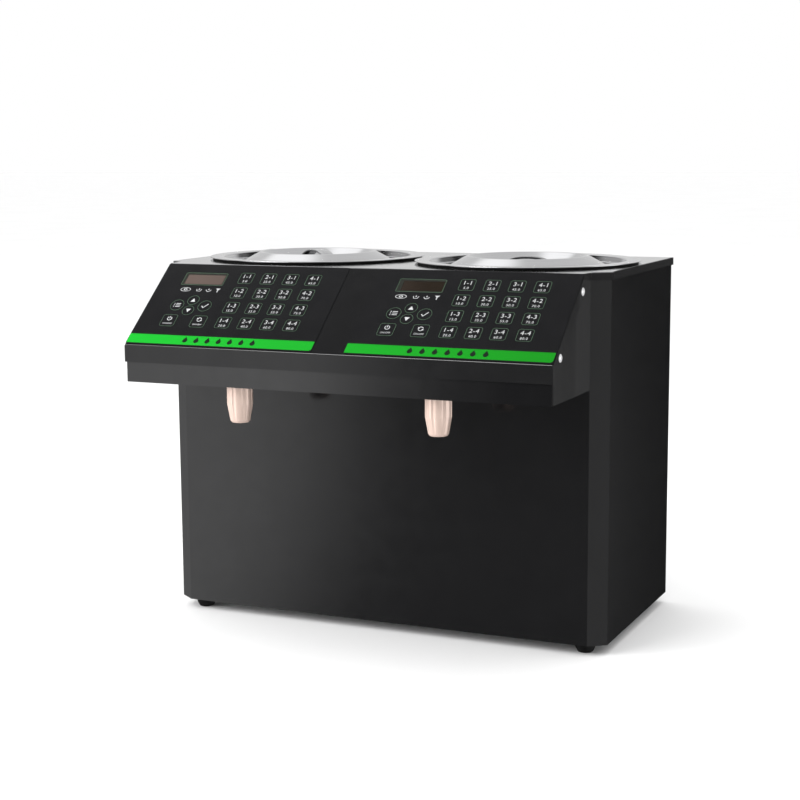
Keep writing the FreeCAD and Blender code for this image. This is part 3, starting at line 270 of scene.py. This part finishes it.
# ------------------------------------------------------------------ mesh tools
def build(name, verts, faces, mat, body, hides=(), angle=35, bevel=None):
    me = bpy.data.meshes.new(name)
    me.from_pydata([tuple(v) for v in verts], [], faces)
    bm = bmesh.new()
    bm.from_mesh(me)
    bmesh.ops.remove_doubles(bm, verts=bm.verts, dist=1e-7)
    bmesh.ops.recalc_face_normals(bm, faces=bm.faces)
    if bevel:
        width, seg, lim = bevel
        edges = [e for e in bm.edges if len(e.link_faces) == 2 and e.calc_face_angle(0) > math.radians(lim)]
        bmesh.ops.bevel(bm, geom=edges, offset=width, offset_type="OFFSET", segments=seg, profile=0.5,
                        affect="EDGES", clamp_overlap=True)
        bmesh.ops.recalc_face_normals(bm, faces=bm.faces)
    bm.to_mesh(me)
    bm.free()
    me.shade_smooth()
    me.set_sharp_from_angle(angle=math.radians(angle))
    me.materials.append(mat)
    o = bpy.data.objects.new(name, me)
    scene.collection.objects.link(o)
    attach(o, body)
    if hides:
        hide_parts(*hides)
    return o


def arc_poly(pts, seg=6):
    """Closed 2-D outline from (x, y, radius) corners, with the corners rounded."""
    out = []
    n = len(pts)
    for i in range(n):
        p = Vector(pts[i][:2])
        r = pts[i][2] if len(pts[i]) > 2 else 0
        a, c = Vector(pts[i - 1][:2]) - p, Vector(pts[(i + 1) % n][:2]) - p
        if r <= 0 or a.length < 1e-9 or c.length < 1e-9:
            out.append(tuple(p))
            continue
        ang = a.angle(c)
        if ang > math.pi - 0.03:
            out.append(tuple(p))
            continue
        cut = min(r / math.tan(ang / 2), 0.48 * min(a.length, c.length))
        r = cut * math.tan(ang / 2)
        a, c = a.normalized(), c.normalized()
        ctr = p + (a + c).normalized() * (r / math.sin(ang / 2))
        s, e = p + a * cut - ctr, p + c * cut - ctr
        a0 = math.atan2(s.y, s.x)
        da = math.atan2(e.y, e.x) - a0
        while da > math.pi:
            da -= 2 * math.pi
        while da < -math.pi:
            da += 2 * math.pi
        for k in range(seg + 1):
            t = a0 + da * k / seg
            out.append((ctr.x + r * math.cos(t), ctr.y + r * math.sin(t)))
    return out


def turned(prof, n, shape=None):
    """Vertices and faces of a closed (r, z) outline turned about Z. shape(i, angle, r, z) may move a point."""
    verts, rings, faces = [], [], []
    for i, (r, z) in enumerate(prof):
        if r < 1e-6:
            rings.append([len(verts)])
            verts.append((0, 0, z))
            continue
        ring = []
        for k in range(n):
            t = 2 * math.pi * k / n
            rr, zz = shape(i, t, r, z) if shape else (r, z)
            ring.append(len(verts))
            verts.append((rr * math.cos(t), rr * math.sin(t), zz))
        rings.append(ring)
    m = len(rings)
    for i in range(m):
        a, b = rings[i], rings[(i + 1) % m]
        if len(a) == 1 and len(b) == 1:
            continue
        for k in range(n):
            j = (k + 1) % n
            if len(a) == 1:
                faces.append((a[0], b[k], b[j]))
            elif len(b) == 1:
                faces.append((a[k], b[0], a[j]))
            else:
                faces.append((a[k], b[k], b[j], a[j]))
    return verts, faces


def moved(verts, x, y, z=0.0, turn=0.0):
    c, s = math.cos(turn), math.sin(turn)
    return [(x + (c * a - s * b) / 1000, y + (s * a + c * b) / 1000, z + d / 1000) for a, b, d in verts]


class Ink:
    """Thin printed shapes gathered into one mesh, in panel coordinates (mm): across, up the slope, outwards."""

    def __init__(self):
        self.v, self.f = [], []

    def plate(self, loop, w0, w1):
        k, n = len(self.v), len(loop)
        self.v += [(x, y, w0) for x, y in loop] + [(x, y, w1) for x, y in loop]
        self.f.append(tuple(range(k, k + n))[::-1])
        self.f.append(tuple(range(k + n, k + 2 * n)))
        for i in range(n):
            j = (i + 1) % n
            self.f.append((k + i, k + j, k + n + j, k + n + i))

    def ring(self, outer, inner, w0, w1):
        n, k = len(outer), len(self.v)
        for w in (w0, w1):
            self.v += [(x, y, w) for x, y in outer] + [(x, y, w) for x, y in inner]
        ob, ib, ot, it = k, k + n, k + 2 * n, k + 3 * n
        for i in range(n):
            j = (i + 1) % n
            self.f += [(ot + i, ot + j, it + j, it + i), (ob + i, ib + i, ib + j, ob + j),
                       (ob + i, ob + j, ot + j, ot + i), (ib + i, it + i, it + j, ib + j)]

    def strip(self, path, width, w0, w1, closed=False):
        """A line of a given width along a path."""
        P = [Vector(p) for p in path]
        n = len(P)
        left, right = [], []
        for i in range(n):
            a = P[i] - P[i - 1] if (i > 0 or closed) else P[1] - P[0]
            c = P[(i + 1) % n] - P[i] if (i < n - 1 or closed) else P[-1] - P[-2]
            d = (a.normalized() + c.normalized()).normalized()
            q = Vector((-d.y, d.x)) * (width / 2)
            left.append(tuple(P[i] + q))
            right.append(tuple(P[i] - q))
        if closed:
            self.ring(left, right, w0, w1)
        else:
            self.plate(left + right[::-1], w0, w1)

    def text(self, words, size, x, y, w0, w1, spread=1.0):
        cu = bpy.data.curves.new("t", "FONT")
        cu.body = words
        cu.size = size
        cu.align_x, cu.align_y = "CENTER", "CENTER"
        cu.space_character = spread
        cu.resolution_u = 3
        cu.extrude = (w1 - w0) / 2
        o = bpy.data.objects.new("t", cu)
        scene.collection.objects.link(o)
        dg = bpy.context.evaluated_depsgraph_get()
        me = bpy.data.meshes.new_from_object(o.evaluated_get(dg))
        k = len(self.v)
        xs = [v.co.x for v in me.vertices]
        ys = [v.co.y for v in me.vertices]
        mx, my = (min(xs) + max(xs)) / 2, (min(ys) + max(ys)) / 2
        self.v += [(x + v.co.x - mx, y + v.co.y - my, (w0 + w1) / 2 + v.co.z) for v in me.vertices]
        self.f += [tuple(k + i for i in p.vertices) for p in me.polygons]
        bpy.data.objects.remove(o)
        bpy.data.curves.remove(cu)
        bpy.data.meshes.remove(me)


def circle(x, y, r, n=40, sx=1.0, a0=0.0, a1=2 * math.pi):
    full = abs(a1 - a0 - 2 * math.pi) < 1e-6
    m = n if full else n + 1
    return [(x + sx * r * math.cos(a0 + (a1 - a0) * k / n), y + r * math.sin(a0 + (a1 - a0) * k / n)) for k in range(m)]


def rbox(x, y, w, h, r, seg=5):
    return arc_poly([(x - w / 2, y - h / 2, r), (x + w / 2, y - h / 2, r), (x + w / 2, y + h / 2, r),
                     (x - w / 2, y + h / 2, r)], seg)


RUN, RISE = 93.5, 78.2
SL = math.hypot(RUN, RISE)
UC, US = RUN / SL, RISE / SL


def on_panel(verts):
    return [(x / 1000, (-178.0 + v * UC - w * US) / 1000, (311.8 + v * US + w * UC) / 1000) for x, v, w in verts]


# ------------------------------------------------------------------ printed keypads
W0, W1 = 0.46, 0.54
DOSE_X = (-132.5, -106.2, -80.1, -53.8)
DOSE_V = (101.4, 79.7, 58.1, 36.5)
for side, sh, nudge in (("left", 0.0, 0.9), ("right", 251.3, -1.1)):
    white, line, band, dark, reveal = Ink(), Ink(), Ink(), Ink(), Ink()

    def frame_line(x, v, w, h, r, t=0.42):
        line.ring(rbox(x, v, w, h, r), rbox(x, v, w - 2 * t, h - 2 * t, r - t), W0, W1)

    def ring_line(x, v, d, t=0.42):
        line.ring(circle(x, v, d / 2), circle(x, v, d / 2 - t), W0, W1)

    # display frame
    dx, dv = -181.4 + sh, 98.5
    line.ring(rbox(dx + nudge * 0.8, dv, 50.6, 18.4, 1.4), rbox(dx + nudge * 0.8, dv, 49.6, 17.4, 0.8), W0, W1)
    # dark reveal round the lit part of the display
    reveal.ring([(dx - 25.2, dv - 8.7), (dx + 25.2, dv - 8.7), (dx + 25.2, dv + 8.7), (dx - 25.2, dv + 8.7)],
                [(dx - 21.2, dv - 7.7), (dx + 24.3, dv - 7.7), (dx + 24.3, dv + 6.2), (dx - 21.2, dv + 6.2)], W1 - 0.05, W1 - 0.01)
    plain, sh = sh, sh + nudge
    # dose keys
    for i, x in enumerate(DOSE_X):
        for j, v in enumerate(DOSE_V):
            frame_line(x + sh, v, 16.3, 15.8, 2.5)
            white.text("%d-%d" % (i + 1, j + 1), 7.6, x + sh, v + 2.9, W0, W1, 1.08)
            white.text("%.1f" % (5 * (4 * i + j + 1)), 4.4, x + sh, v - 4.3, W0, W1, 1.1)
    # arrows
    ring_line(-181.4 + sh, 66.9, 13.5)
    ring_line(-181.4 + sh, 51.9, 13.5)
    white.plate([(-184.2 + sh, 64.6), (-178.6 + sh, 64.6), (-181.4 + sh, 69.6)], W0, W1)
    white.plate([(-184.2 + sh, 54.2), (-181.4 + sh, 49.2), (-178.6 + sh, 54.2)], W0, W1)
    # round keys: a list mark and a tick
    ring_line(-197.7 + sh, 59.1, 15.5)
    ring_line(-164.5 + sh, 59.1, 15.5)
    for k in (-2.2, 0.0, 2.2):
        white.plate(rbox(-196.6 + sh, 59.1 + k, 5.6, 0.8, 0.3, 3), W0, W1)
        white.plate(circle(-201.2 + sh, 59.1 + k, 0.55, 12), W0, W1)
    white.strip([(-167.9 + sh, 59.0), (-165.6 + sh, 56.5), (-161.0 + sh, 61.9)], 1.1, W0, W1)
    # square keys: mains mark and cycle mark, each above ON/OFF
    for x in (-197.9, -162.1):
        frame_line(x + sh, 36.6, 17.2, 16.8, 2.8)
        white.text("ON/OFF", 2.9, x + sh, 32.3, W0, W1, 1.05)
    white.strip(circle(-197.9 + sh, 39.3, 2.5, 24, 1.0, math.radians(125), math.radians(415)), 0.75, W0, W1)
    white.plate(rbox(-197.9 + sh, 40.9, 0.8, 3.2, 0.3, 3), W0, W1)
    for a in (20, 200):
        white.strip(circle(-162.1 + sh, 39.3, 2.5, 16, 1.0, math.radians(a), math.radians(a + 125)), 0.75, W0, W1)
        t = math.radians(a + 135)
        ex, ey = -162.1 + sh + 2.5 * math.cos(t), 39.3 + 2.5 * math.sin(t)
        d = Vector((-math.sin(t), math.cos(t)))
        q = Vector((math.cos(t), math.sin(t)))
        white.plate([tuple(Vector((ex, ey)) + q * 1.25 - d * 0.6), tuple(Vector((ex, ey)) + d * 1.7),
                     tuple(Vector((ex, ey)) - q * 1.25 - d * 0.6)], W0, W1)
    # pictograms under the display
    x0, v0 = -197.8 + sh, 82.4
    white.ring(circle(x0, v0, 2.9, 40, 2.15), circle(x0, v0, 2.35, 40, 2.35), W0, W1)
    white.ring(circle(x0, v0, 1.5, 28, 1.5), circle(x0, v0, 0.85, 28, 1.2), W0, W1)
    for k, x in enumerate((-181.5, -169.9)):
        x += sh
        white.strip([(x - 3.0, v0 + 1.0), (x - 2.0, v0 - 1.9), (x + 2.0, v0 - 1.9), (x + 3.0, v0 + 1.0)]
                    if k == 0 else circle(x, v0 + 0.9, 3.0, 14, 1.0, math.radians(190), math.radians(350)), 0.7, W0, W1)
        white.plate([(x - 0.85, v0 + 0.2), (x + 0.85, v0 + 0.2), (x, v0 + 2.6)], W0, W1)
    x = -158.9 + sh
    white.plate([(x - 2.7, v0 + 2.6), (x - 0.5, v0 + 0.2), (x - 0.5, v0 - 2.9), (x + 0.5, v0 - 2.9),
                 (x + 0.5, v0 + 0.2), (x + 2.7, v0 + 2.6)], W0, W1)
    # band with plain drop marks
    sh = plain
    band.plate(arc_poly([(-233.3 + sh, 3.2, 0.4), (-18.4 + sh, 3.2, 3.2), (-18.4 + sh, 15.8, 0.5), (-233.3 + sh, 15.8, 0.4)], 8),
               W0, W1)
    for k in range(7):
        x, v = -165.0 + sh + k * 13.1, 9.0
        lo = circle(x, v, 2.8, 18, 1.0, math.radians(-215), math.radians(35))
        dark.plate(lo + [(x, v + 5.2)], W1 - 0.02, W1 + 0.04)
    build("ink_white_" + side, on_panel(white.v), white.f, INK_WHITE, "cabinet", angle=20)
    build("ink_outline_" + side, on_panel(line.v), line.f, INK_LINE, "cabinet", angle=20)
    build("ink_band_" + side, on_panel(band.v), band.f, INK_BAND, "cabinet", angle=20)
    build("window_reveal_" + side, on_panel(reveal.v), reveal.f, INK_REVEAL, "cabinet", angle=20)
    build("ink_drops_" + side, on_panel(dark.v), dark.f, INK_DARK, "cabinet", angle=20)

# ------------------------------------------------------------------ lids
dz = 382.4
LID = arc_poly([
    (0, dz), (41.0, dz, 8), (63.94, 397.81, 3.6), (85.95, 386.0, 4), (102.9, 386.0, 1.6), (104.9, 392.8, 1.9),
    (120.5, 392.8, 0.4), (120.5, 392.0, 0.1), (105.7, 392.0, 1.2), (104.05, 385.2, 1.6), (85.7, 385.2, 4),
    (63.98, 396.87, 3), (41.5, 381.6, 8), (0, 381.6)], 8)
for side, sx in (("left", -1), ("right", 1)):
    v, f = turned(LID, 224)
    build("lid_" + side + "_body", moved(v, sx * CX, TY), f, M_LID[side], "lid_" + side, ("lid_" + side,), 40)

# ------------------------------------------------------------------ lid handles
GX, GT = 33.0, 2.0
for side, sx, turn, GZ in (("left", -1, -33.0, 399.0), ("right", 1, 10.0, 396.0)):
    N = 36
    top, bot = [], []
    for i in range(N + 1):
        k = -1.0 + 2.0 * i / N
        s = 1.0 - abs(k) ** 2.6
        top.append((GX * k, dz + GT + (GZ - dz - GT) * s))
        bot.append(((GX - 2.3) * k, dz + (GZ - GT - dz) * s))
    top = [(-GX - 5.4, dz + GT)] + top + [(GX + 5.4, dz + GT)]
    bot = [(-GX - 5.4, dz), (-GX + 2.3, dz)] + bot[1:-1] + [(GX - 2.3, dz), (GX + 5.4, dz)]
    loop = top + bot[::-1]
    n = len(loop)
    hw = 7.45
    v = [(x, -hw, z) for x, z in loop] + [(x, hw, z) for x, z in loop]
    m = len(top)
    f = [(i, (i + 1) % n, n + (i + 1) % n, n + i) for i in range(n)]
    for i in range(m - 1):
        a, b, c, d = i, i + 1, n - 2 - i, n - 1 - i
        if d > c >= m:
            f.append((a, b, c, d))
            f.append((n + d, n + c, n + b, n + a))
    # the right strap is made wholly in the darker steel copy: painted shade
    grip = build("grip_" + side, moved(v, sx * CX, TY, 0, math.radians(turn)), f, M["handles" if sx < 0 else "grip_painted_shade"], "lid_" + side,
          ("lid_handle_" + side,), 40, (0.00035, 2, 50))
    # the underside of the strap gets a darker copy of the steel: painted shade
    grip.data.materials.append(M["grip_painted_shade"])
    c, sn = math.cos(math.radians(turn)), math.sin(math.radians(turn))
    for p in grip.data.polygons:
        across_x = (p.center.x - sx * CX) * c + (p.center.y - TY) * sn
        nx = p.normal.x * c + p.normal.y * sn
        if across_x * nx + (p.center.z - dz / 1000 + 0.001) * p.normal.z < -0.002:
            p.material_index = 1

# ------------------------------------------------------------------ nozzles
nr, n0, hz = 13.3, 234.0, 272.5
NOZ = arc_poly([(nr, hz, 0.4), (nr, n0 + 19, 3), (10.3, n0 + 2, 1.5), (9.0, n0, 1.0), (5.5, n0, 0.5), (5.5, n0 + 4, 1),
                (9.2, n0 + 17, 1), (9.6, n0 + 21.4, 0.3), (10.5, n0 + 21.6, 0.2), (10.5, hz, 0.2)], 6)
dense = []
for i in range(len(NOZ)):
    a, b = Vector(NOZ[i]), Vector(NOZ[(i + 1) % len(NOZ)])
    k = max(1, int((b - a).length / 1.2)) if (a.x > 12.5 and b.x > 12.5) else 1
    dense += [tuple(a.lerp(b, j / k)) for j in range(k)]


def fluted(i, t, r, z):
    if r < 11.8 or z < n0 + 14:
        return r, z
    t = (t + math.pi / 8) % (math.pi / 4) - math.pi / 8
    c, R = nr + 2.4, 3.2
    if abs(math.sin(t)) >= R / c:
        return r, z
    x = c * math.cos(t) - math.sqrt(R * R - (c * math.sin(t)) ** 2)
    end = min(1.0, max(0.0, (z - (n0 + 16.6)) / 2.2))
    x = x + (nr - x) * (1 - end * (2 - end))
    return min(r, x), z


for side, nx in (("left", -0.113), ("right", 0.108)):
    v, f = turned(dense, 192, fluted)
    build("nozzle_" + side + "_body", moved(v, nx, -0.1515), f, M["nozzles"], "nozzle_" + side,
          ("nozzle_" + side,), 50)

# ------------------------------------------------------------------ console screws
def slotted(i, t, r, z):
    u, w = r * math.cos(t), r * math.sin(t)
    return r, z - (1.1 if abs(w) < 0.85 and abs(u) < 2.9 and z > 0.5 else 0.0)


SCREW = [(0.0, 1.35), (0.3, 1.35), (0.6, 1.35), (0.64, 1.35), (1.2, 1.31), (1.8, 1.23), (2.4, 1.1), (2.88, 0.94), (2.92, 0.92),
         (3.4, 0.68), (3.85, 0.36), (4.1, 0.0), (1.6, 0.0), (1.6, -5.0), (0.0, -5.0)]
sv, sf = [], []
for sx in (-1, 1):
    for yy, zz in ((-0.0910, 0.3731), (-0.1572, 0.3162)):
        v, f = turned(SCREW, 72, slotted)
        k = len(sv)
        sv += [(sx * (0.2340 + c / 1000), yy + b / 1000, zz + a / 1000) for a, b, c in v]
        sf += [tuple(i + k for i in q) for q in f]
build("console_screw_heads", sv, sf, M["screws"], "cabinet", ("console_screws",), 40)

# ------------------------------------------------------------------ rocker marks
marks = Ink()
marks.plate(rbox(0, 0, 0.7, 4.2, 0.2, 3), -0.02, 0.05)
loc = []
ang = math.radians(-11)
for (cz, shape) in ((4.6, "bar"), (-4.6, "ring")):
    mk = Ink()
    if shape == "bar":
        mk.plate(rbox(0, 0, 0.7, 3.6, 0.2, 3), 0, 0.1)
    else:
        mk.ring(circle(0, 0, 1.7, 28), circle(0, 0, 1.15, 28), 0, 0.1)
    (ya, za), (yb, zb) = ((5.9, 8.9), (4.3, 0)) if shape == "bar" else ((4.3, 0), (5.9, -8.9))
    d = Vector((ya - yb, za - zb)).normalized()
    n = Vector((d.y, -d.x))
    t = (abs(cz) / 8.9)
    base = Vector((4.3 + (5.9 - 4.3) * t, cz))
    for x, u, w in mk.v:
        p = base + d * u + n * (w - 0.03)
        y, z = p.x, p.y
        loc.append((-0.108 - x / 1000, 0.1705 + (math.cos(ang) * y - math.sin(ang) * z) / 1000,
                    0.060 + (math.sin(ang) * y + math.cos(ang) * z) / 1000))
    if shape == "bar":
        f_all = list(mk.f)
        k_bar = len(mk.v)
    else:
        f_all += [tuple(i + k_bar for i in q) for q in mk.f]
build("rocker_marks", loc, f_all, INK_WHITE, "rocker", angle=20)

# ------------------------------------------------------------------ stage
bpy.ops.mesh.primitive_plane_add(size=60.0, location=(0, 0, -0.0002))
floor = bpy.context.object
floor.name = "floor"
fm = Mat("floor_paper").set(Roughness=0.9, Specular_IOR_Level=0.1)
fm.colour(fm.noise(3, 3), (0.82, 0.82, 0.82), (0.84, 0.84, 0.84))
floor.data.materials.append(fm.m)
floor.visible_glossy = False

world = bpy.data.worlds.new("studio")
scene.world = world
world.use_nodes = True
wt = world.node_tree
wt.nodes.clear()


def wn(kind, **kw):
    n = wt.nodes.new(kind)
    for k, val in kw.items():
        setattr(n, k, val)
    return n


def put(sock, val):
    if isinstance(val, (int, float)):
        sock.default_value = val
    else:
        wt.links.new(val, sock)


def math_node(op, a, b=None):
    n = wn("ShaderNodeMath", operation=op)
    put(n.inputs[0], a)
    if b is not None:
        put(n.inputs[1], b)
    return n.outputs[0]


geo = wn("ShaderNodeTexCoord").outputs["Generated"]


def lobe(d, lo, hi, amount):
    """A soft patch of light around direction d, from cosine lo (dark) to hi (full)."""
    dv = Vector(d).normalized()
    dot = wn("ShaderNodeVectorMath", operation="DOT_PRODUCT")
    wt.links.new(geo, dot.inputs[0])
    dot.inputs[1].default_value = dv
    r = wn("ShaderNodeMapRange", interpolation_type="SMOOTHSTEP")
    r.inputs["From Min"].default_value = lo
    r.inputs["From Max"].default_value = hi
    r.inputs["To Min"].default_value = 0.0
    r.inputs["To Max"].default_value = amount
    wt.links.new(dot.outputs["Value"], r.inputs["Value"])
    return r.outputs["Result"]


glossy = 0.01
for args in (((-0.70, -0.71, -0.12), 0.935, 0.968, 1.42),
             ((-0.97, 0.20, 0.0), 0.80, 0.95, 0.42),
             ((0.81, -0.56, -0.15), 0.85, 0.97, 0.50),
             ((-0.20, 0.80, 0.57), 0.69, 0.79, 0.74),
             ((-0.52, 0.40, 0.75), 0.936, 0.985, 0.66),
             ((0.75, 0.66, -0.18), 0.851, 0.869, 0.16),
             ((0.95, 0.27, -0.13), 0.90, 0.97, 2.1),
             ((0.10, -0.93, 0.45), 0.88, 0.97, 0.50),
             ((0.93, -0.05, 0.38), 0.90, 0.975, 0.50),
             ((0.0, -1.0, -0.10), 0.80, 0.95, 0.10),
             ((-0.45, 0.0, 0.90), 0.85, 0.96, 0.10),
             ((-0.50, -0.57, 0.65), 0.965, 0.99, 7.0),
             ((-0.34, -0.62, 0.70), 0.965, 0.99, 7.0)):
    glossy = math_node("ADD", glossy, lobe(*args))
path = wn("ShaderNodeLightPath")
lit = math_node("ADD", math_node("MULTIPLY", path.outputs["Is Camera Ray"], 1.0),
                math_node("MULTIPLY", path.outputs["Is Diffuse Ray"], 1.22))
lit = math_node("ADD", lit, math_node("MULTIPLY", path.outputs["Is Glossy Ray"], glossy))
lit = math_node("ADD", lit, math_node("MULTIPLY", path.outputs["Is Transmission Ray"], 0.6))
bg = wn("ShaderNodeBackground")
bg.inputs["Color"].default_value = (1, 1, 1, 1)
wt.links.new(lit, bg.inputs["Strength"])
out = wn("ShaderNodeOutputWorld")
wt.links.new(bg.outputs["Background"], out.inputs["Surface"])


def area(name, at, look, size, power, glossy_seen=True):
    ld = bpy.data.lights.new(name, "AREA")
    ld.shape = "RECTANGLE"
    ld.size, ld.size_y = size
    ld.energy = power
    o = bpy.data.objects.new(name, ld)
    o.location = at
    o.rotation_mode = "QUATERNION"
    o.rotation_quaternion = (Vector(look) - Vector(at)).to_track_quat("-Z", "Y")
    o.visible_camera = False
    o.visible_glossy = glossy_seen
    scene.collection.objects.link(o)
    return o


area("key", (-1.25, -1.75, 1.9), (0, 0, 0.15), (1.8, 1.4), 36, False)
area("top", (0.2, 0.3, 2.6), (0, 0, 0.2), (1.6, 1.6), 18, False)
area("left", (-1.55, -1.15, 0.5), (0, -0.15, 0.25), (0.7, 0.7), 25, False)

# ------------------------------------------------------------------ camera
cd = bpy.data.cameras.new("camera")
cam = bpy.data.objects.new("camera", cd)
scene.collection.objects.link(cam)
yaw, pitch, roll = math.radians(24.281), math.radians(8.625), math.radians(-0.379)
fw = Vector((-math.sin(yaw) * math.cos(pitch), math.cos(yaw) * math.cos(pitch), -math.sin(pitch)))
right = Vector((math.cos(yaw), math.sin(yaw), 0))
up = right.cross(fw)
r2 = right * math.cos(roll) + up * math.sin(roll)
u2 = up * math.cos(roll) - right * math.sin(roll)
cam.matrix_world = Matrix(((r2.x, u2.x, -fw.x, 0.731042), (r2.y, u2.y, -fw.y, -1.623444),
                           (r2.z, u2.z, -fw.z, 0.511656), (0, 0, 0, 1)))
cd.sensor_width = 36.0
cd.lens = 74.89
cd.clip_start, cd.clip_end = 0.05, 200.0
scene.camera = cam

bpy.context.view_layer.update()
